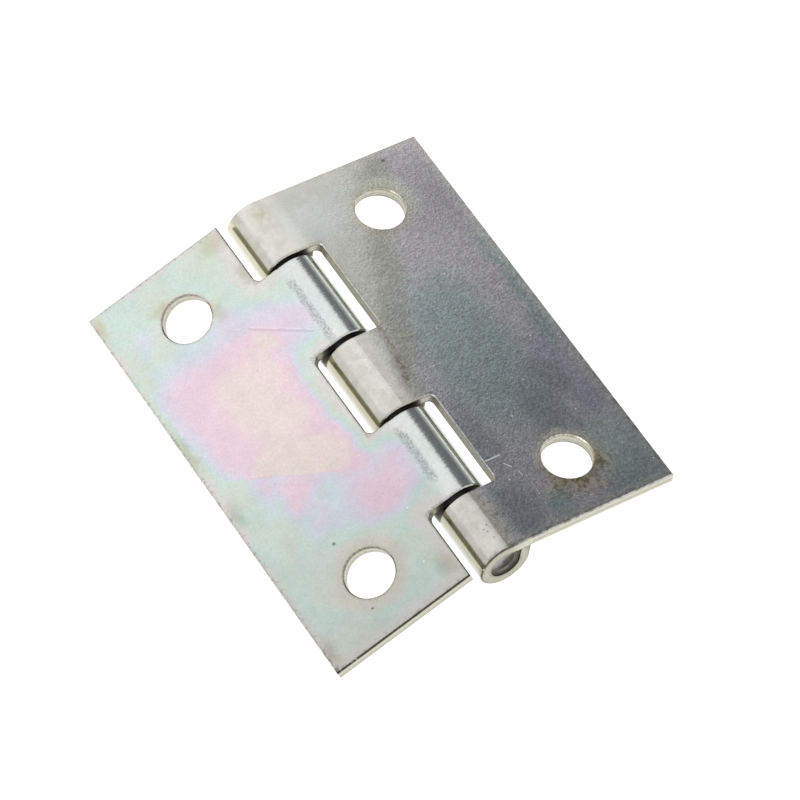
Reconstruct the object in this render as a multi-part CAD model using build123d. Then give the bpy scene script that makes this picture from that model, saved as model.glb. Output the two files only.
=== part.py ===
from build123d import *
import os
from math import asin, atan2, degrees, hypot

# Steel butt hinge, two leaves rolled from sheet round one plain pin.
# Millimetres. The pin lies along Y and the hinge rests knuckles down on the plane Z = 0.

# Leaf blanks
hinge_length = 50.0
leaf_reach = 20.0
sheet = 1.2
fixed_root_radius = 0.6
moving_root_radius = 0.8

# Screw holes, one pair on each leaf
hole_diameter = 5.4
hole_from_end = 6.9
hole_from_edge = 8.5

# Knuckles of the leaf that holds the pin; those of the moving leaf fill what is left
end_knuckle = 7.85
middle_knuckle = 9.9
knuckle_gap = 0.55
notch_clearance = 0.5
roll_seam = 0.06

# Pin and its fits in the two leaves
pin_diameter = 3.4
pin_recess = 0.55
pin_chamfer = 0.3
pin_grip = 0.01
pin_play = 0.05

# Break of the sheared edges on the flat side
edge_break = 0.12

# Bore of each leaf's knuckles: the fixed leaf pinches the pin, the moving leaf turns on it
pin_radius = pin_diameter / 2
fixed_bore = pin_radius - pin_grip
moving_bore = pin_radius + pin_play

# Each leaf is notched clear of the other leaf's knuckles
notch_floor = moving_bore + sheet + notch_clearance

# Knuckle stations along the pin, from the ends inwards
half_length = hinge_length / 2
end_inner = half_length - end_knuckle
middle_half = middle_knuckle / 2
moving_outer = end_inner - knuckle_gap
moving_inner = middle_half + knuckle_gap
fixed_spans = [(end_inner, half_length), (-middle_half, middle_half), (-half_length, -end_inner)]
moving_spans = [(moving_inner, moving_outer), (-moving_outer, -moving_inner)]

# Rest: the moving leaf's knuckles and both free edges lie on the plane
pin_height = moving_bore + sheet


def droop(bore):
    """Slope of a leaf whose free edge touches the plane its hinge lies on."""
    return degrees(atan2(bore, leaf_reach) + asin(pin_height / hypot(leaf_reach, bore)))


def rolled_leaf(bore, spans, root_radius):
    """A leaf reaching along +X, flat side up, with its straps rolled under round the Y axis."""
    outer = bore + sheet
    hole_x = leaf_reach - hole_from_edge
    hole_y = half_length - hole_from_end
    with BuildPart() as leaf:
        # Flat of the blank with its straps, root corners and screw holes
        with BuildSketch(Plane.XY.offset(bore)) as blank:
            with Locations(((notch_floor + leaf_reach) / 2, 0)):
                Rectangle(leaf_reach - notch_floor, hinge_length)
            for low, high in spans:
                with Locations((notch_floor / 2, (low + high) / 2)):
                    Rectangle(notch_floor, high - low)
            roots = [
                v for v in blank.vertices()
                if abs(v.X - notch_floor) < 0.001 and abs(v.Y) < half_length - 0.001
            ]
            fillet(roots, root_radius)
            with Locations((hole_x, hole_y), (hole_x, -hole_y)):
                Circle(hole_diameter / 2, mode=Mode.SUBTRACT)
        extrude(amount=sheet)
        # Rolled knuckles: three quarters round, then straight up to the underside of the leaf
        for low, high in spans:
            with BuildSketch(Plane.XZ.offset(-high)):
                with BuildLine():
                    Line((0, outer), (0, bore))
                    CenterArc((0, 0), bore, 90, 270)
                    Line((bore, 0), (bore, bore - roll_seam))
                    Line((bore, bore - roll_seam), (outer, bore - roll_seam))
                    Line((outer, bore - roll_seam), (outer, 0))
                    CenterArc((0, 0), outer, 90, 270)
                make_face()
            extrude(amount=high - low)
        # Sheared edges of the flat side, the hole rims and the knuckle ends, broken by the die
        flat_side = leaf.faces().filter_by(Axis.Z).sort_by(Axis.Z)[-1]
        rims = [e for e in flat_side.edges() if abs(e.center().X) > 0.001]
        rolls = [
            e for e in leaf.edges().filter_by(GeomType.CIRCLE)
            if abs(e.radius - outer) < 0.001 and e.length > outer
        ]
        chamfer(rims + rolls, edge_break)
    return leaf.part


# Pieces in place
raise_pin = Pos(0, 0, pin_height)
fixed = raise_pin * Rot(0, droop(fixed_bore), 0) * rolled_leaf(fixed_bore, fixed_spans, fixed_root_radius)
turned = Rot(0, 0, 180) * rolled_leaf(moving_bore, moving_spans, moving_root_radius)
moving = raise_pin * Rot(0, -droop(moving_bore), 0) * turned

with BuildPart(Plane.XZ) as pin_build:
    Cylinder(pin_radius, hinge_length - 2 * pin_recess)
    chamfer(pin_build.edges().filter_by(GeomType.CIRCLE), pin_chamfer)
pin = raise_pin * pin_build.part

os.makedirs("parts", exist_ok=True)
for name, solid in [("three_knuckle_leaf", fixed), ("two_knuckle_leaf", moving), ("hinge_pin", pin)]:
    export_step(solid, f"parts/{name}.step")
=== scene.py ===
from math import atan2, cos, radians, sin

import bpy
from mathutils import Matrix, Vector

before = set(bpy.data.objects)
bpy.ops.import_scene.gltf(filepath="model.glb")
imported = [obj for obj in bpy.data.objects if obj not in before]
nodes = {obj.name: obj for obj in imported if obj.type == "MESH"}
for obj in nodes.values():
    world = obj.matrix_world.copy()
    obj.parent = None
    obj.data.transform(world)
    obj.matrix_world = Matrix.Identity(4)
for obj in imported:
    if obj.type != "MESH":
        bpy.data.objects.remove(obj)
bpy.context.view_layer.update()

scene = bpy.context.scene

# Lengths in metres
mm = 0.001
micron = 0.000001

# Sizes of the hinge in millimetres, as the finishes use them
knuckle_radius = 2.95
sheet = 1.2
inner_radius = knuckle_radius - sheet
leaf_reach = 20.0
half_length = 25.0
notch_floor = 3.45
knuckle_station = 11.05
two_knuckle_strap = 5.55
three_knuckle_notch = 6.1
hole_from_pin = 11.5
hole_from_middle = 18.1
hole_radius = 2.7
near_end_line = (0.1 - half_length, 0.2 - half_length)

# Droop of the leaves at rest in degrees
two_knuckle_droop = 13.449
three_knuckle_droop = 13.283

# Colours and tints of both leaves
painted_glint_white = (0.92, 0.92, 0.9)
pit_brown = (0.16, 0.15, 0.13)
speck_tint = (0.25, 0.25, 0.24)
burr_tint = (0.42, 0.39, 0.33)
sheared_dark = (0.465, 0.455, 0.375)
sheared_pale = (0.615, 0.605, 0.525)
break_tint = (0.52, 0.5, 0.45)
roll_cut_tint = (0.77, 0.76, 0.73)
rim_tint = (0.26, 0.25, 0.21)
# Painted shade for the knuckle gaps
gap_painted_shade = (0.05, 0.048, 0.04)

# Colours and tints of the two-knuckle leaf
film_colours = {
    "Bare": (0.65, 0.638, 0.605), "Blue": (0.58, 0.655, 0.67), "Lilac": (0.66, 0.61, 0.70),
    "Pink": (0.74, 0.575, 0.645), "Peach": (0.74, 0.635, 0.60), "Straw": (0.73, 0.66, 0.585),
}
warm_mint = (0.605, 0.66, 0.575)
cool_mint = (0.56, 0.67, 0.615)
pale_mint = (0.63, 0.65, 0.615)
bright_roll = (0.68, 0.70, 0.68)
die_tint = (0.48, 0.48, 0.51)
tan_tint = (0.90, 0.80, 0.69)
worn_tint = (0.93, 0.92, 0.83)
olive_tint = (0.72, 0.71, 0.62)
drag_tint = (0.82, 0.8, 0.85)
hole_line_tint = (0.4, 0.4, 0.35)
crumb_tint = (0.52, 0.5, 0.46)
near_line_tint = (0.16, 0.16, 0.125)

# Colours and tints of the three-knuckle leaf
beige = (0.625, 0.62, 0.57)
pale_green = (0.66, 0.685, 0.645)
khaki = (0.45, 0.447, 0.395)
purple = (0.585, 0.56, 0.595)
teal = (0.405, 0.49, 0.48)
slate = (0.355, 0.38, 0.395)
violet = (0.50, 0.48, 0.60)
sea_green = (0.62, 0.685, 0.655)
far_corner_painted_shade = (0.77, 0.77, 0.77)
edge_beige = (0.64, 0.63, 0.57)
roll_dull = (0.57, 0.555, 0.495)
roll_clean = (0.67, 0.655, 0.59)
# Painted reflection on the lower side of the rolls
under_roll_reflection = (0.74, 0.73, 0.66)
side_roll_reflection = (0.56, 0.545, 0.385)
halo_pale = (0.62, 0.645, 0.57)
stain_tint = (0.93, 0.9, 0.81)
tan_brown = (0.5, 0.455, 0.355)
tan_pale = (0.78, 0.745, 0.63)
soil_tint = (0.72, 0.65, 0.53)
crust_tint = (0.32, 0.295, 0.245)
grime_tint = (0.66, 0.63, 0.55)
blush_tint = (0.86, 0.78, 0.73)
clot_tint = (0.38, 0.37, 0.33)
edge_crumb_tint = (0.4, 0.4, 0.36)
roll_end_tint = (0.2, 0.19, 0.16)

# Colours of the pin, with painted shade for its cropped end
wire_dark = (0.36, 0.36, 0.37)
wire_bright = (0.62, 0.61, 0.61)
crop_shade = (0.1, 0.09, 0.08)
crop_unshaded = (0.36, 0.35, 0.36)

# Values for vectors and colours
flat_only = (1, 1, 0)
mid_grey = (0.5, 0.5, 0.5)


# Small helpers for node trees


def fill(tree, socket, value):
    """Sets a socket, or links it where the value is another socket."""
    if isinstance(value, bpy.types.NodeSocket):
        tree.links.new(value, socket)
    elif isinstance(value, (tuple, list)) and socket.type == "RGBA" and len(value) == 3:
        socket.default_value = (*value, 1.0)
    else:
        socket.default_value = value


def put(tree, kind, sockets, **settings):
    made = tree.nodes.new(kind)
    for name, value in settings.items():
        setattr(made, name, value)
    for name, value in sockets.items():
        fill(tree, made.inputs[name], value)
    return made


def calc(tree, operation, *values, clamp=False):
    made = put(tree, "ShaderNodeMath", dict(enumerate(values)), operation=operation, use_clamp=clamp)
    return made.outputs[0]


def plus(tree, first, second):
    return calc(tree, "ADD", first, second)


def minus(tree, first, second):
    return calc(tree, "SUBTRACT", first, second)


def times(tree, first, second):
    return calc(tree, "MULTIPLY", first, second)


def larger(tree, first, second):
    return calc(tree, "MAXIMUM", first, second)


def smaller(tree, first, second):
    return calc(tree, "MINIMUM", first, second)


def unsigned(tree, value):
    return calc(tree, "ABSOLUTE", value)


def distance(tree, first, second):
    """How far two offsets at right angles lead together."""
    return calc(tree, "SQRT", plus(tree, times(tree, first, first), times(tree, second, second)))


def vector(tree, operation, *values):
    made = put(tree, "ShaderNodeVectorMath", dict(enumerate(values)), operation=operation)
    return made.outputs["Value" if operation in ("LENGTH", "DOT_PRODUCT") else "Vector"]


def scaled(tree, value, factor):
    made = put(tree, "ShaderNodeVectorMath", {0: value, "Scale": factor}, operation="SCALE")
    return made.outputs["Vector"]


def axes(tree, place):
    made = put(tree, "ShaderNodeSeparateXYZ", {0: place})
    return made.outputs[0], made.outputs[1], made.outputs[2]


def ease(tree, value, low, high, to_low=0.0, to_high=1.0, curve="SMOOTHSTEP"):
    made = put(
        tree, "ShaderNodeMapRange",
        {"Value": value, "From Min": low, "From Max": high, "To Min": to_low, "To Max": to_high},
        interpolation_type=curve,
    )
    return made.outputs["Result"]


def fade(tree, value, low, high, rest=0.0):
    """Full below the low value, down to the rest above the high one."""
    return ease(tree, value, low, high, 1.0, rest)


def mix_value(tree, share, under, over):
    return put(tree, "ShaderNodeMix", {0: share, 2: under, 3: over}, data_type="FLOAT").outputs[0]


def blend(tree, share, under, over, how="MIX"):
    made = put(tree, "ShaderNodeMix", {0: share, 6: under, 7: over}, data_type="RGBA", blend_type=how)
    return made.outputs[2]


def dimmed(tree, colour, factor):
    return blend(tree, 1.0, colour, factor, "MULTIPLY")


def grey(tree, value):
    return put(tree, "ShaderNodeCombineColor", {0: value, 1: value, 2: value}).outputs[0]


def noise_field(tree, place, scale, detail, rough):
    return put(
        tree, "ShaderNodeTexNoise",
        {"Vector": place, "Scale": scale, "Detail": detail, "Roughness": rough},
    ).outputs


def noise(tree, place, scale, detail=2.0, rough=0.5):
    return noise_field(tree, place, scale, detail, rough)["Fac"]


def swing(tree, place, scale, detail=2.0, rough=0.5):
    """Noise about zero."""
    return minus(tree, noise(tree, place, scale, detail, rough), 0.5)


def bump(tree, height, reach, normal=None):
    sockets = {"Height": height, "Strength": 1.0, "Distance": reach}
    if normal:
        sockets["Normal"] = normal
    return put(tree, "ShaderNodeBump", sockets).outputs[0]


def new_group(name, inputs, outputs):
    """An empty node group with named sockets, its input sockets by name and its output node."""
    group = bpy.data.node_groups.new(name, "ShaderNodeTree")
    for label, kind in inputs:
        group.interface.new_socket(label, in_out="INPUT", socket_type="NodeSocket" + kind)
    for label, kind in outputs:
        group.interface.new_socket(label, in_out="OUTPUT", socket_type="NodeSocket" + kind)
    entry = group.nodes.new("NodeGroupInput")
    leave = group.nodes.new("NodeGroupOutput")
    return group, {label: entry.outputs[label] for label, _ in inputs}, leave


def send(group, leave, results):
    for name, value in results.items():
        fill(group, leave.inputs[name], value)


def use(tree, group, sockets):
    made = tree.nodes.new("ShaderNodeGroup")
    made.node_tree = group
    for name, value in sockets.items():
        fill(tree, made.inputs[name], value)
    return made.outputs


# Shared effects


def make_edge_distance():
    """How far a spot on a leaf is from its notches, from its outer edges and from the screw holes."""
    group, given, leave = new_group(
        "edge_distance",
        [("Place", "Vector"), ("Strap Side", "Float"), ("Strap Edge", "Float")],
        [("Notch", "Float"), ("Edge", "Float"), ("Hole", "Float")],
    )
    reach, along, _ = axes(group, given["Place"])
    along = unsigned(group, along)
    off = unsigned(group, minus(group, along, knuckle_station))
    strap = times(group, minus(group, given["Strap Edge"], off), given["Strap Side"])
    strap = larger(group, strap, 0.0)
    past_notch = larger(group, minus(group, reach, notch_floor), 0.0)
    outer = minus(group, leaf_reach, reach)
    end = minus(group, half_length, along)
    hole_y = minus(group, along, hole_from_middle)
    hole_x = minus(group, reach, hole_from_pin)
    send(group, leave, {
        "Notch": distance(group, strap, past_notch),
        "Edge": smaller(group, outer, end),
        "Hole": minus(group, distance(group, hole_y, hole_x), hole_radius),
    })
    return group


def make_passivate_film():
    """Interference colours of the passivate film, by its thickness."""
    stops = [
        ("Thin", 0.02, 0.2), ("Blue", 0.25, 0.38), ("Lilac", 0.34, 0.48),
        ("Pink", 0.45, 0.62), ("Peach", 0.62, 0.84), ("Straw", 0.86, 1.05),
    ]
    group, given, leave = new_group(
        "passivate_film",
        [("Thickness", "Float"), ("Bare", "Color")] + [(name, "Color") for name, _, _ in stops],
        [("Color", "Color")],
    )
    colour = given["Bare"]
    for name, low, high in stops:
        colour = blend(group, ease(group, given["Thickness"], low, high), colour, given[name])
    send(group, leave, {"Color": colour})
    return group


def make_soft_patch():
    """Mask of one rounded patch with a soft border."""
    group, given, leave = new_group(
        "soft_patch",
        [("Place", "Vector"), ("Centre", "Vector"), ("Reach", "Vector"), ("Softness", "Float")],
        [("Mask", "Float")],
    )
    offset = vector(group, "SUBTRACT", given["Place"], given["Centre"])
    offset = vector(group, "DIVIDE", offset, given["Reach"])
    offset = vector(group, "MULTIPLY", offset, flat_only)
    square = vector(group, "MULTIPLY", offset, offset)
    round_far = vector(group, "LENGTH", offset)
    square_far = calc(group, "SQRT", vector(group, "LENGTH", square))
    far = plus(group, round_far, square_far)
    inner = minus(group, 2.0, times(group, given["Softness"], 2.0))
    outer = plus(group, 2.0, given["Softness"])
    send(group, leave, {"Mask": fade(group, far, inner, outer)})
    return group


def make_scratch():
    """Mask of one straight streak between two spots."""
    group, given, leave = new_group(
        "scratch",
        [("Place", "Vector"), ("From", "Vector"), ("To", "Vector"), ("Width", "Float")],
        [("Mask", "Float")],
    )
    way = vector(group, "SUBTRACT", given["To"], given["From"])
    here = vector(group, "SUBTRACT", given["Place"], given["From"])
    here = vector(group, "MULTIPLY", here, flat_only)
    covered = vector(group, "DOT_PRODUCT", here, way)
    whole = vector(group, "DOT_PRODUCT", way, way)
    share = calc(group, "DIVIDE", covered, whole, clamp=True)
    away = vector(group, "LENGTH", vector(group, "SUBTRACT", here, scaled(group, way, share)))
    core = times(group, given["Width"], 0.25)
    send(group, leave, {"Mask": fade(group, away, core, given["Width"])})
    return group


def make_plate_grain():
    """Crystal grain of the plating, its tints, sparse bright specks painted as glints, and dark specks."""
    group, given, leave = new_group(
        "plate_grain",
        [("Place", "Vector"), ("Contrast", "Float"), ("Tint", "Float"), ("Speck Share", "Float")],
        [("Grain", "Float"), ("Relief", "Float"), ("Mottle", "Color"),
         ("Painted Glints", "Float"), ("Pits", "Float")],
    )
    place = given["Place"]
    grain = noise(group, place, 4.0, 3.0, 0.7)
    tints = noise_field(group, place, 2.3, 3.0, 0.7)["Color"]
    shade = plus(group, 1.0, times(group, minus(group, grain, 0.5), given["Contrast"]))
    cloud = ease(group, noise(group, place, 0.5, 4.0, 0.65), 0.3, 0.7, 0.95, 1.05, "LINEAR")
    shade = grey(group, times(group, shade, cloud))
    speckle = blend(group, given["Tint"], mid_grey, tints)
    speckle = blend(group, 1.0, speckle, mid_grey, "ADD")
    cells = put(group, "ShaderNodeTexVoronoi", {"Vector": place, "Scale": 1.1}).outputs
    rare = put(group, "ShaderNodeSeparateColor", {0: cells["Color"]}).outputs
    dot = fade(group, cells["Distance"], 0.04, 0.13)
    # Painted glints: the bright specks stand for crystal facets catching the light
    bright = calc(group, "LESS_THAN", rare[0], given["Speck Share"])
    dark = calc(group, "LESS_THAN", rare[1], times(group, given["Speck Share"], 0.3))
    depth = ease(group, given["Contrast"], 0.2, 0.8, 0.2, 1.6, "LINEAR")
    send(group, leave, {
        "Grain": grain,
        "Relief": times(group, grain, depth),
        "Mottle": dimmed(group, speckle, shade),
        "Painted Glints": times(group, dot, bright),
        "Pits": times(group, dot, dark),
    })
    return group


def make_bend_marks():
    """Mask of a speckled band that the rolling die rubbed along the start of a knuckle."""
    group, given, leave = new_group(
        "bend_marks",
        [("Place", "Vector"), ("Centre", "Vector"), ("Reach", "Vector"), ("Cover", "Float")],
        [("Mask", "Float")],
    )
    offset = vector(group, "SUBTRACT", given["Place"], given["Centre"])
    offset = vector(group, "DIVIDE", offset, given["Reach"])
    across, along, _ = axes(group, offset)
    wobble = swing(group, given["Place"], 1.6, 4.0, 0.65)
    across = plus(group, unsigned(group, across), times(group, wobble, 1.2))
    along = plus(group, unsigned(group, along), times(group, wobble, 0.5))
    band = times(group, fade(group, across, 0.3, 1.1), fade(group, along, 0.75, 1.05))
    gone = minus(group, 0.6, given["Cover"])
    rubs = noise(group, given["Place"], 5.5, 3.0, 0.75)
    rubs = ease(group, rubs, gone, plus(group, gone, 0.4))
    send(group, leave, {"Mask": times(group, band, rubs)})
    return group


def make_cut_face():
    """Masks of the sheared faces: all of them, their break line, burr and knuckle gaps; also the rolls."""
    group, given, leave = new_group(
        "cut_face",
        [("Place", "Vector"), ("Facing", "Vector")],
        [("Cut", "Float"), ("Break", "Float"), ("Rim", "Float"), ("Gap", "Float"), ("Roll", "Float"),
         ("Streaks", "Float")],
    )
    reach, along, height = axes(group, given["Place"])
    _, to_end, up = axes(group, given["Facing"])
    steep = fade(group, unsigned(group, up), 0.4, 0.5)
    on_flat = ease(group, reach, knuckle_radius, knuckle_radius + 0.15)
    flat_cut = times(group, steep, on_flat)
    end_face = ease(group, unsigned(group, to_end), 0.8, 0.9)

    # The break line lies a little under the middle of the sheet
    waver = swing(group, given["Place"], 1.3, 3.0)
    level = plus(group, height, times(group, waver, 0.35))
    torn = times(group, ease(group, level, 1.98, 2.1), fade(group, level, 2.2, 2.32))

    # The burr follows both faces of the sheet, straight on the flat and round on the roll
    past_pin = calc(group, "GREATER_THAN", reach, 0.0)
    flat_part = times(group, past_pin, calc(group, "GREATER_THAN", height, 1.6))
    layer = mix_value(group, flat_part, distance(group, reach, height), height)
    layer = plus(group, layer, times(group, waver, 0.2))
    outside = ease(group, layer, knuckle_radius - 0.4, knuckle_radius - 0.14)
    inside = fade(group, layer, inner_radius + 0.06, inner_radius + 0.22)

    # Knuckle ends that face another knuckle get painted shade; the outermost ones do not
    between = fade(group, unsigned(group, along), half_length - 0.5, half_length - 0.3)
    gap = times(group, times(group, end_face, between), fade(group, reach, 1.2, 2.5))
    top_roll = fade(group, reach, 0.2, 1.7)
    low_roll = times(group, fade(group, height, 1.5, 1.65), fade(group, reach, 3.0, 3.2))
    drawn_out = vector(group, "MULTIPLY", given["Place"], (8.0, 8.0, 0.9))
    send(group, leave, {
        "Cut": larger(group, flat_cut, end_face),
        "Break": times(group, torn, flat_cut),
        "Rim": larger(group, outside, times(group, inside, 0.8)),
        "Gap": gap,
        "Roll": larger(group, top_roll, low_roll),
        "Streaks": noise(group, drawn_out, 1.0, 3.0, 0.65),
    })
    return group


edge_distance = make_edge_distance()
passivate_film = make_passivate_film()
soft_patch = make_soft_patch()
scratch = make_scratch()
plate_grain = make_plate_grain()
bend_marks = make_bend_marks()
cut_face = make_cut_face()


# Finishes


def new_metal(name):
    metal = bpy.data.materials.new(name)
    metal.use_nodes = True
    tree = metal.node_tree
    shader = tree.nodes["Principled BSDF"]
    shader.inputs["Metallic"].default_value = 1.0
    return metal, tree, shader


def leaf_place(tree, droop, outward):
    """Spot and facing on a leaf in millimetres: reach from the pin, along the pin, height over the pin."""
    turn = radians(droop)
    known = tree.nodes.new("ShaderNodeTexCoord")
    place = put(
        tree, "ShaderNodeMapping",
        {"Vector": known.outputs["Object"], "Rotation": (0, -turn, 0),
         "Scale": (outward / mm, 1 / mm, 1 / mm),
         "Location": (knuckle_radius * sin(turn), 0, -knuckle_radius * cos(turn))},
        vector_type="POINT",
    )
    facing = put(
        tree, "ShaderNodeMapping",
        {"Vector": known.outputs["Normal"], "Rotation": (0, -turn, 0), "Scale": (outward, 1, 1)},
        vector_type="VECTOR",
    )
    return place.outputs[0], facing.outputs[0]


def wander(tree, place, grit, shift, fray=0.6):
    """The spot on a leaf pushed about by noise, so that what is drawn there gets a ragged border."""
    push = noise_field(tree, place, grit, 5.0, fray)["Color"]
    push = vector(tree, "SUBTRACT", push, mid_grey)
    return vector(tree, "ADD", place, scaled(tree, push, shift))


def patch(tree, place, centre, reach, softness=0.6):
    """Patch on a leaf, its centre and reach given as distance from the pin and along it."""
    return use(tree, soft_patch, {
        "Place": place, "Centre": (*centre, 0), "Reach": (*reach, 1), "Softness": softness,
    })["Mask"]


def line(tree, place, start, stop, width):
    return use(tree, scratch, {
        "Place": place, "From": (*start, 0), "To": (*stop, 0), "Width": width,
    })["Mask"]


def marks(tree, place, centre, reach, cover):
    return use(tree, bend_marks, {
        "Place": place, "Centre": (*centre, 0), "Reach": (*reach, 1), "Cover": cover,
    })["Mask"]


def most(tree, masks):
    top = masks[0]
    for mask in masks[1:]:
        top = larger(tree, top, mask)
    return top


def patches(tree, place, spots):
    """Several patches in one mask, each with its centre, reach and softness."""
    return most(tree, [patch(tree, place, *spot) for spot in spots])


def tone(tree, colour, mask, strength, tint):
    """Dulls a colour by a tint where the mask is."""
    return blend(tree, times(tree, mask, strength), colour, tint, "MULTIPLY")


def lay(tree, colour, mask, strength, over):
    """Lays another colour over where the mask is."""
    return blend(tree, times(tree, mask, strength), colour, over)


def burr(tree, colour, away, faces, strength):
    """Darkens the broken burr along a sheared edge."""
    mask = times(tree, fade(tree, away, 0.05, 0.4), ease(tree, faces["Streaks"], 0.4, 0.62))
    return tone(tree, colour, mask, strength, burr_tint)


def finish_leaf(tree, shader, faces, grain, film, rim, dull, bright, polish, heights):
    """Joins film, sheared faces, grain and marks into the plated sheet."""
    colour = dimmed(tree, film, grain["Mottle"])
    # Painted glints: the bright specks, and the bright marks passed in, are laid in near-white
    bright = larger(tree, bright, grain["Painted Glints"])
    colour = lay(tree, colour, bright, 0.7, painted_glint_white)
    colour = lay(tree, colour, grain["Pits"], 0.5, pit_brown)
    sheared = blend(tree, ease(tree, faces["Streaks"], 0.3, 0.65), sheared_dark, sheared_pale)
    sheared = tone(tree, sheared, faces["Break"], 0.5, break_tint)
    sheared = tone(tree, sheared, faces["Roll"], 0.9, roll_cut_tint)
    ragged = ease(tree, faces["Streaks"], 0.36, 0.56, 0.5, 1.0)
    rim = times(tree, times(tree, faces["Rim"], ragged), rim)
    sheared = tone(tree, sheared, rim, 1.0, rim_tint)
    colour = blend(tree, faces["Cut"], colour, sheared)
    # Painted shade on the knuckle ends that face each other across the gaps
    colour = lay(tree, colour, faces["Gap"], 0.9, gap_painted_shade)
    fill(tree, shader.inputs["Base Color"], colour)
    rough = ease(tree, grain["Grain"], 0.3, 0.7, polish, polish + 0.06, "LINEAR")
    for mask, more in ((dull, 0.25), (bright, 0.2), (faces["Cut"], 0.25)):
        rough = plus(tree, rough, times(tree, mask, more))
    fill(tree, shader.inputs["Roughness"], rough)
    normal = bump(tree, grain["Relief"], 10 * micron)
    for height, reach in heights:
        normal = bump(tree, height, reach, normal)
    fill(tree, shader.inputs["Normal"], normal)


def two_knuckle_film(tree, place, along, edges, loose, frayed):
    """Full pastel film: mint at the ends, lilac and pink inside, a peach core, bare along the edges."""
    # The main bloom and its thick core both end at a drying line
    frayed_reach, frayed_along, _ = axes(tree, frayed)
    drying = plus(tree, times(tree, frayed_along, 0.837), times(tree, frayed_reach, -0.547))
    drying = ease(tree, drying, -10.5, -9.7)
    blooms = [
        (0.70, patch(tree, loose, (12.0, 5.6), (9.2, 12.8), 0.8), drying),
        (0.92, patch(tree, loose, (10.4, 4.0), (7.4, 12.6), 1.0), drying),
        (0.93, line(tree, loose, (9.0, -4.4), (13.0, -1.8), 5.4), drying),
        (0.64, patch(tree, loose, (16.3, 3.2), (2.8, 6.4), 1.0), drying),
        (0.90, patch(tree, loose, (6.6, 10.0), (2.6, 3.0), 1.0), None),
        (0.54, patch(tree, loose, (3.4, 11.2), (6.4, 5.2), 1.0), None),
        (0.66, patch(tree, loose, (5.8, -10.8), (6.2, 5.4), 1.0), None),
        (0.66, patch(tree, loose, (7.4, -6.0), (4.4, 5.0), 1.0), None),
        (0.66, patch(tree, loose, (12.9, -6.4), (3.6, 3.6), 1.0), None),
        (0.54, patch(tree, loose, (15.4, -3.9), (3.0, 3.2), 1.0), None),
        (0.44, patch(tree, loose, (12.4, -10.2), (4.8, 4.6), 1.0), None),
        (0.44, patch(tree, loose, (16.7, 18.6), (1.8, 3.6), 1.0), None),
    ]
    thickness = 0.2
    for level, mask, kept in blooms:
        raised = times(tree, mask, level)
        if kept:
            raised = times(tree, raised, kept)
        thickness = calc(tree, "SMOOTH_MAX", thickness, raised, 0.2)
    drift = swing(tree, place, 0.3, 4.0, 0.55)
    thickness = plus(tree, thickness, times(tree, drift, 0.24))

    # Bare metal along the notches, the edges and the holes, wider at the near end
    shy = times(tree, drift, 2.4)
    edge_width = ease(tree, along, 3.0 - half_length, 6.0 - half_length, 2.6, 1.1)
    hole_width = ease(tree, along, -8.0, 8.0, 2.4, 0.5)
    bare = most(tree, [
        ease(tree, plus(tree, edges["Notch"], shy), 0.0, 2.4, 0.36, 0.0),
        ease(tree, plus(tree, edges["Edge"], shy), 0.0, edge_width, 0.2, 0.0),
        ease(tree, plus(tree, edges["Hole"], shy), 0.1, hole_width, 0.3, 0.0),
    ])
    thickness = minus(tree, thickness, bare)
    mint = blend(tree, ease(tree, noise(tree, place, 0.24, 3.0), 0.35, 0.65), warm_mint, cool_mint)
    elsewhere = vector(tree, "ADD", place, (31.0, 7.0, 0.0))
    cloud = ease(tree, noise(tree, elsewhere, 0.2, 4.0, 0.6), 0.5, 0.66)
    mint = lay(tree, mint, cloud, 0.7, pale_mint)
    film = use(tree, passivate_film, {"Thickness": thickness, "Thin": mint, **film_colours})["Color"]
    # Painted shade: the film is up to 28 percent darker towards the near end
    return dimmed(tree, film, grey(tree, ease(tree, along, -half_length, 4.0, 0.72, 1.0, "LINEAR")))


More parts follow.
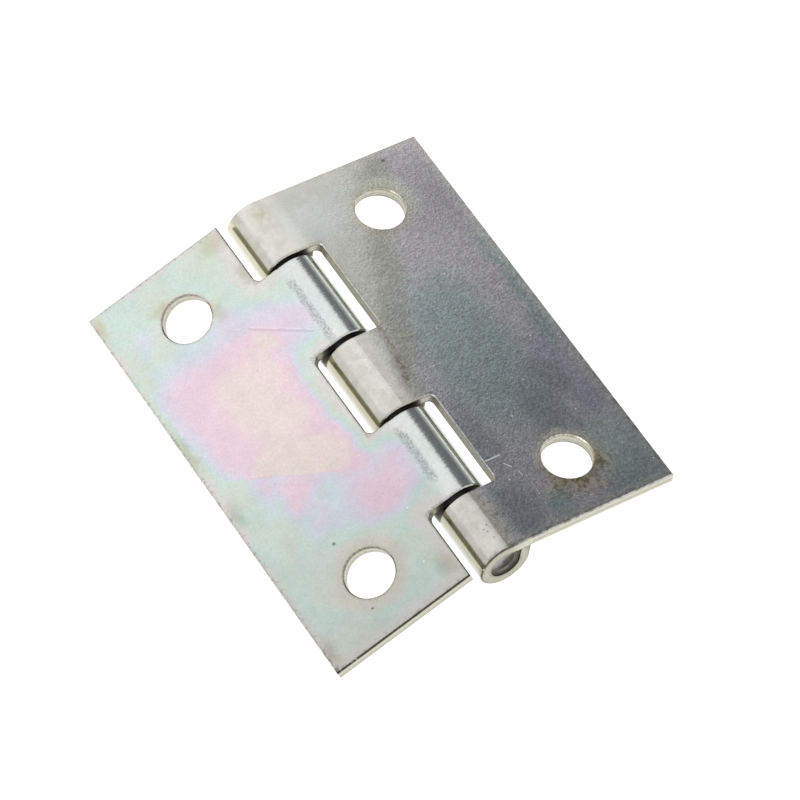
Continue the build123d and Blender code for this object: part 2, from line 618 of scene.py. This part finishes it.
def two_knuckle_plate():
    """Bright zinc under a full pastel film."""
    metal, tree, shader = new_metal("two_knuckle_zinc")
    place, facing = leaf_place(tree, two_knuckle_droop, -1)
    _, along, _ = axes(tree, place)
    edges = use(tree, edge_distance, {"Place": place, "Strap Side": 1.0, "Strap Edge": two_knuckle_strap})
    grain = use(tree, plate_grain, {"Place": place, "Contrast": 0.25, "Tint": 0.09, "Speck Share": 0.05})
    faces = use(tree, cut_face, {"Place": place, "Facing": facing})
    loose = wander(tree, place, 0.16, 6.0, 0.42)
    frayed = wander(tree, place, 0.9, 1.6)
    film = two_knuckle_film(tree, place, along, edges, loose, frayed)
    film = lay(tree, film, faces["Roll"], 0.75, bright_roll)

    # Rubbed bands at the knuckles, smudges, specks and one long scratch with a painted highlight along its
    # raised side
    dies = most(tree, [
        marks(tree, place, (0.5, 10.2), (0.55, 4.9), 0.3),
        marks(tree, place, (0.6, -10.5), (0.65, 3.9), 0.34),
    ])
    film = tone(tree, film, dies, 1.0, die_tint)
    tan = patches(tree, frayed, [
        ((5.0, 23.6), (1.6, 1.4), 0.9), ((19.4, 23.4), (0.6, 1.4), 0.9),
        ((8.5, 16.7), (0.8, 1.5), 0.9), ((13.2, 20.9), (1.4, 0.8), 0.9),
    ])
    film = tone(tree, film, tan, 0.9, tan_tint)
    worn = times(tree, fade(tree, edges["Hole"], 0.4, 2.2), fade(tree, along, -8.0, 0.0))
    film = tone(tree, film, worn, 0.8, worn_tint)
    olive = patches(tree, frayed, [
        ((19.0, -3.9), (0.8, 1.7), 0.9), ((19.5, 5.6), (0.7, 3.2), 0.9), ((3.9, 18.4), (0.7, 1.5), 0.9),
        ((4.7, -22.4), (1.0, 1.4), 0.9), ((19.3, -23.0), (0.7, 2.0), 0.9),
    ])
    film = tone(tree, film, olive, 0.7, olive_tint)
    specks = most(tree, [
        patch(tree, place, (12.7, -13.1), (0.2, 0.2)),
        patch(tree, place, (13.3, -21.5), (0.16, 0.14)),
        patch(tree, frayed, (19.8, -24.7), (0.4, 0.35), 0.8),
    ])
    film = tone(tree, film, specks, 0.85, speck_tint)
    drag = line(tree, place, (6.9, 12.7), (1.7, 8.1), 0.22)
    film = tone(tree, film, drag, 0.7, drag_tint)
    # Painted highlight along the raised side of the scratch
    ridge_highlight = line(tree, place, (6.75, 12.85), (1.55, 8.25), 0.12)
    ridge_highlight = times(tree, ridge_highlight, ease(tree, noise(tree, place, 1.2, 3.0), 0.4, 0.6, 0.05, 0.4))

    # Burrs: broken along every edge, speckled along the outer one, a dark line along the near end
    film = burr(tree, film, smaller(tree, edges["Notch"], edges["Edge"]), faces, 0.75)
    film = burr(tree, film, edges["Hole"], faces, 0.8)
    film = tone(tree, film, fade(tree, edges["Hole"], 0.08, 0.2), 0.5, hole_line_tint)
    crumbs = ease(tree, noise(tree, place, 2.0, 3.0, 0.7), 0.52, 0.62)
    crumbs = times(tree, fade(tree, edges["Edge"], 0.15, 0.9), crumbs)
    film = tone(tree, film, crumbs, 0.6, crumb_tint)
    near_line = fade(tree, along, *near_end_line)
    broken = ease(tree, noise(tree, place, 1.3, 4.0, 0.65), 0.3, 0.44)
    film = tone(tree, film, times(tree, near_line, broken), 1.0, near_line_tint)
    inner_cut = ease(tree, smaller(tree, edges["Notch"], edges["Hole"]), 0.1, 0.3, 0.7, 0.45)
    rim = larger(tree, inner_cut, near_line)
    drawn = noise(tree, vector(tree, "MULTIPLY", place, (2.0, 5.0, 2.0)), 1.0)
    drawn = times(tree, faces["Roll"], drawn)
    heights = [(dies, 10 * micron), (drag, 5 * micron), (drawn, 9 * micron)]
    finish_leaf(tree, shader, faces, grain, film, rim, dies, ridge_highlight, 0.12, heights)
    return metal


def three_knuckle_film(tree, place, along, height, edges, faces, loose, slant):
    """Thin cool film in slanting bands: pale, khaki and purple, then teal and slate; beige on the rolls."""
    film = blend(tree, patch(tree, loose, (5.0, 20.2), (5.0, 3.0), 0.8), beige, pale_green)
    film = lay(tree, film, ease(tree, slant, 0.8, 2.8), 0.85, khaki)
    film = lay(tree, film, ease(tree, slant, 3.4, 6.0), 0.9, purple)
    teal_spots = patches(tree, loose, [
        ((10.1, -2.4), (5.4, 11.2), 0.5), ((8.0, -23.0), (1.9, 2.2), 0.7), ((16.4, -20.4), (3.4, 5.0), 0.6),
        ((18.6, 4.6), (0.8, 6.8), 0.9), ((18.1, -3.2), (1.2, 3.2), 0.7), ((2.4, -18.6), (1.0, 0.8), 0.7),
    ])
    film = lay(tree, film, teal_spots, 0.9, teal)
    slate_spots = patches(tree, loose, [
        ((3.2, -21.4), (2.6, 4.4), 0.6), ((12.8, -12.0), (2.6, 4.8), 0.7), ((4.6, -11.4), (1.8, 6.0), 0.8),
        ((15.6, -8.4), (2.4, 4.0), 0.8), ((13.4, -15.0), (2.6, 1.6), 0.8),
    ])
    film = lay(tree, film, slate_spots, 0.8, slate)
    violet_spots = patches(tree, loose, [((16.9, -5.6), (1.4, 1.8), 0.8), ((17.6, -12.0), (1.2, 4.2), 0.8)])
    film = lay(tree, film, violet_spots, 0.8, violet)
    film = lay(tree, film, patch(tree, loose, (16.4, -18.6), (3.4, 4.2), 0.9), 0.75, sea_green)
    # Painted shade: the far outer corner is darker
    film = tone(tree, film, patch(tree, loose, (17.0, 18.5), (5.0, 7.0), 0.8), 0.9, far_corner_painted_shade)
    from_edge = plus(tree, edges["Edge"], times(tree, swing(tree, place, 0.7, 3.0), 2.2))
    film = lay(tree, film, fade(tree, from_edge, 0.2, 1.4), 0.6, edge_beige)
    drawn = blend(tree, ease(tree, noise(tree, place, 0.7, 4.0, 0.65), 0.35, 0.65), roll_dull, roll_clean)
    # Painted reflection on the lower side of the rolls: pale underneath, yellowish on the side
    lower = blend(tree, ease(tree, height, -0.7, 0.5), under_roll_reflection, side_roll_reflection)
    drawn = lay(tree, drawn, fade(tree, height, 1.25, 1.5), 0.9, lower)
    # Painted shade: the rolls are up to 14 percent darker towards the near end and 3 percent lighter at the
    # far end
    drawn = dimmed(tree, drawn, grey(tree, ease(tree, along, -half_length, 20.0, 0.86, 1.03, "LINEAR")))
    return lay(tree, film, faces["Roll"], 0.9, drawn)


def stain_holes(tree, film, place, along, edges, frayed):
    """A pale halo outside the far hole, and soil round the near one: a tan ring with dark crust beyond."""
    ring = plus(tree, edges["Hole"], times(tree, swing(tree, place, 0.8, 3.0), 1.4))
    halo = times(tree, patch(tree, place, (13.2, 19.3), (3.6, 4.2)), fade(tree, ring, 0.8, 2.6))
    film = lay(tree, film, halo, 0.75, halo_pale)
    stain = times(tree, fade(tree, ring, 0.5, 1.4), ease(tree, along, 0.0, 8.0))
    film = tone(tree, film, stain, 0.6, stain_tint)
    at_near_hole = patch(tree, place, (hole_from_pin, -hole_from_middle), (5.6, 5.6), 0.4)
    tan_ring = times(tree, fade(tree, ring, 0.3, 1.3), at_near_hole)
    tan = blend(tree, ease(tree, along, -20.2, -17.6), tan_brown, tan_pale)
    film = lay(tree, film, tan_ring, 0.85, tan)
    soil = patches(tree, frayed, [
        ((11.4, -21.8), (3.2, 1.5), 0.9), ((8.4, -20.6), (1.4, 1.6), 0.9), ((14.4, -20.0), (1.4, 1.6), 0.9),
    ])
    film = tone(tree, film, soil, 0.85, soil_tint)
    crust = times(tree, larger(tree, soil, tan_ring), fade(tree, along, -20.0, -17.0, 0.15))
    crust = times(tree, crust, ease(tree, noise(tree, place, 2.2, 3.0, 0.7), 0.47, 0.58))
    return tone(tree, film, crust, 0.75, crust_tint), soil


def three_knuckle_plate():
    """The same zinc under a thinner, cooler film, grainier towards the far side."""
    metal, tree, shader = new_metal("three_knuckle_zinc")
    place, facing = leaf_place(tree, three_knuckle_droop, 1)
    reach, along, height = axes(tree, place)
    edges = use(tree, edge_distance, {"Place": place, "Strap Side": -1.0, "Strap Edge": three_knuckle_notch})
    faces = use(tree, cut_face, {"Place": place, "Facing": facing})
    loose = wander(tree, place, 0.22, 4.0)
    frayed = wander(tree, place, 0.9, 1.6)
    loose_reach, loose_along, _ = axes(tree, loose)
    slant = minus(tree, loose_reach, times(tree, loose_along, 0.444))
    contrast = ease(tree, slant, -4.0, 5.0, 0.25, 0.8)
    contrast = times(tree, contrast, fade(tree, faces["Roll"], 0.0, 1.0, 0.3))
    grain = use(tree, plate_grain, {"Place": place, "Contrast": contrast, "Tint": 0.16, "Speck Share": 0.22})
    film = three_knuckle_film(tree, place, along, height, edges, faces, loose, slant)
    film, soil = stain_holes(tree, film, place, along, edges, frayed)

    # Grime along the bend, specks on the knuckles, rubs and scratches
    grime = most(tree, [
        line(tree, frayed, (3.0, 4.4), (2.6, 0.4), 0.35),
        line(tree, frayed, (2.6, 0.4), (1.8, -3.1), 0.5),
        patch(tree, frayed, (0.9, -20.9), (0.6, 3.8), 0.9),
    ])
    film = tone(tree, film, grime, 0.5, grime_tint)
    film = tone(tree, film, patch(tree, frayed, (-0.4, 23.0), (0.8, 1.2), 0.9), 0.8, blush_tint)
    clots = times(tree, grime, ease(tree, noise(tree, place, 2.2, 4.0, 0.7), 0.48, 0.57))
    film = tone(tree, film, clots, 0.7, clot_tint)
    film = tone(tree, film, patch(tree, place, (15.2, 23.5), (0.2, 0.2)), 0.85, speck_tint)
    specks = patches(tree, place, [
        ((-0.5, -21.5), (0.12, 0.14)), ((-0.8, -22.2), (0.1, 0.18)),
        ((-1.0, -21.8), (0.12, 0.1)), ((-0.6, -23.1), (0.1, 0.1)),
    ])
    film = tone(tree, film, specks, 0.5, speck_tint)
    rubs = most(tree, [
        marks(tree, place, (-0.1, 0.6), (0.8, 4.2), 0.26),
        line(tree, place, (3.7, -14.8), (5.4, -14.75), 0.12),
        line(tree, place, (5.2, -15.9), (5.7, -16.6), 0.07),
        line(tree, place, (6.0, -17.3), (6.1, -18.0), 0.07),
    ])
    dull = times(tree, larger(tree, soil, grime), 0.5)

    # Burrs: broken along notches and holes, crumbs along the outer edges, a dark line round the near roll
    inner_edge = smaller(tree, edges["Notch"], edges["Hole"])
    film = burr(tree, film, inner_edge, faces, 0.65)
    crumbs = ease(tree, noise(tree, place, 1.6, 3.0, 0.65), 0.44, 0.6)
    crumbs = times(tree, fade(tree, edges["Edge"], 0.1, 0.7), crumbs)
    crumbs = times(tree, crumbs, fade(tree, along, -12.0, 0.0, 0.25))
    film = tone(tree, film, crumbs, 0.7, edge_crumb_tint)
    roll_end = fade(tree, along, 0.1 - half_length, 0.22 - half_length)
    film = tone(tree, film, times(tree, faces["Roll"], roll_end), 0.9, roll_end_tint)
    rim = larger(tree, faces["Roll"], ease(tree, along, *near_end_line))
    rim = times(tree, rim, fade(tree, inner_edge, 0.1, 0.3, 0.55))

    # A faint swell, in millimetres, where the sheet runs into the roll
    swell = ease(tree, reach, -2.0, 2.6, 0.0, 0.22)
    finish_leaf(tree, shader, faces, grain, film, rim, dull, rubs, 0.17, [(swell, mm)])
    return metal


def pin_wire():
    """Drawn steel wire: fine lines along the pin, and a rough cropped end with painted shade, darkest at its
    lower right.
    """
    metal, tree, shader = new_metal("pin_wire_steel")
    known = tree.nodes.new("ShaderNodeTexCoord")
    place = put(
        tree, "ShaderNodeMapping",
        {"Vector": known.outputs["Object"], "Scale": (1 / mm, 1 / mm, 1 / mm),
         "Location": (0, 0, -knuckle_radius)},
    ).outputs[0]
    drawn = noise(tree, vector(tree, "MULTIPLY", place, (6.0, 0.3, 6.0)), 1.0, 3.0, 0.6)
    colour = blend(tree, ease(tree, drawn, 0.3, 0.7), wire_dark, wire_bright)
    _, to_end, _ = axes(tree, known.outputs["Normal"])
    cropped = ease(tree, unsigned(tree, to_end), 0.7, 0.9)
    chips = times(tree, noise(tree, place, 1.4, 4.0, 0.6), 4.0)
    across, _, height = axes(tree, place)
    # Painted shade on the cropped end, deepest at its lower right and broken up by rough chips
    unshaded = ease(tree, plus(tree, minus(tree, height, across), chips), 1.0, 2.6)
    colour = blend(tree, cropped, colour, blend(tree, unshaded, crop_shade, crop_unshaded))
    fill(tree, shader.inputs["Base Color"], colour)
    fill(tree, shader.inputs["Roughness"], ease(tree, drawn, 0.3, 0.7, 0.25, 0.42, "LINEAR"))
    fill(tree, shader.inputs["Normal"], bump(tree, mix_value(tree, cropped, drawn, chips), 20 * micron))
    return metal


def wear(node, metal):
    nodes[node].data.materials.clear()
    nodes[node].data.materials.append(metal)


wear("two_knuckle_leaf", two_knuckle_plate())
wear("three_knuckle_leaf", three_knuckle_plate())
wear("hinge_pin", pin_wire())


# Studio: a white table and pale walls, one large softbox overhead, a dim wall on the far right only


def photo_camera():
    data = bpy.data.cameras.new("photo_camera")
    data.sensor_width = 36.0
    data.lens = 230.08
    data.clip_start = 0.02
    data.clip_end = 20.0
    camera = bpy.data.objects.new("photo_camera", data)
    camera.location = (-0.10478016, -0.24682827, 0.45418421)
    camera.rotation_euler = (0.52671494, 0.08571548, -0.55618419)
    scene.collection.objects.link(camera)
    scene.camera = camera


def pale_floor():
    """A white table just under the hinge."""
    bpy.ops.object.select_all(action="DESELECT")
    bpy.ops.mesh.primitive_plane_add(size=6.0, location=(0, 0, -20 * micron))
    floor = bpy.context.active_object
    floor.name = "pale_floor"
    paint = bpy.data.materials.new("pale_floor_paint")
    paint.use_nodes = True
    shader = paint.node_tree.nodes["Principled BSDF"]
    shader.inputs["Base Color"].default_value = (0.35, 0.35, 0.35, 1)
    shader.inputs["Roughness"].default_value = 0.9
    shader.inputs["Emission Color"].default_value = (1, 1, 1, 1)
    shader.inputs["Emission Strength"].default_value = 0.95
    floor.data.materials.append(paint)


def studio_walls(bright_side):
    """Pale walls all round, apart from the far right, where the wall is dim above the table."""
    world = bpy.data.worlds.new("studio_walls")
    world.use_nodes = True
    tree = world.node_tree
    known = tree.nodes.new("ShaderNodeTexCoord")
    lit = vector(tree, "DOT_PRODUCT", known.outputs["Generated"], bright_side)
    lit = ease(tree, lit, -0.03, 0.03)
    _, ahead, rise = axes(tree, known.outputs["Generated"])
    lit = larger(tree, lit, fade(tree, ahead, -0.02, 0.3))
    dim = blend(tree, ease(tree, rise, 0.0, 0.34), (0.66, 0.67, 0.66), (0.18, 0.19, 0.2))
    colour = blend(tree, lit, dim, (0.93, 0.93, 0.92))
    fill(tree, tree.nodes["Background"].inputs["Color"], colour)
    scene.world = world


def softbox(name, middle, edge_way, size, radiance):
    """A level softbox facing down, its long side along edge_way."""
    watts_per_radiance = 4
    data = bpy.data.lights.new(name, "AREA")
    data.shape = "RECTANGLE"
    data.size, data.size_y = size
    data.energy = radiance * watts_per_radiance * size[0] * size[1]
    lamp = bpy.data.objects.new(name, data)
    lamp.location = middle
    lamp.rotation_euler = (0, 0, atan2(edge_way.y, edge_way.x))
    scene.collection.objects.link(lamp)


photo_camera()
pale_floor()

# The softbox's near right edge runs along edge_way; the bright wall starts where its far side ends
box_height = 0.4
box_depth = 0.53
box_length = 3.0
box_radiance = 0.75
edge_way = Vector((0.8, 0.6, 0))
inward = Vector((-0.6, 0.8, 0))
near_edge = Vector((0.3424, 0.3038, box_height))
far_edge = near_edge + inward * box_depth
box_middle = near_edge + inward * (box_depth / 2)
softbox("overhead_softbox", box_middle, edge_way, (box_length, box_depth), box_radiance)
studio_walls(far_edge.cross(edge_way).normalized())
scene.view_settings.view_transform = "Standard"
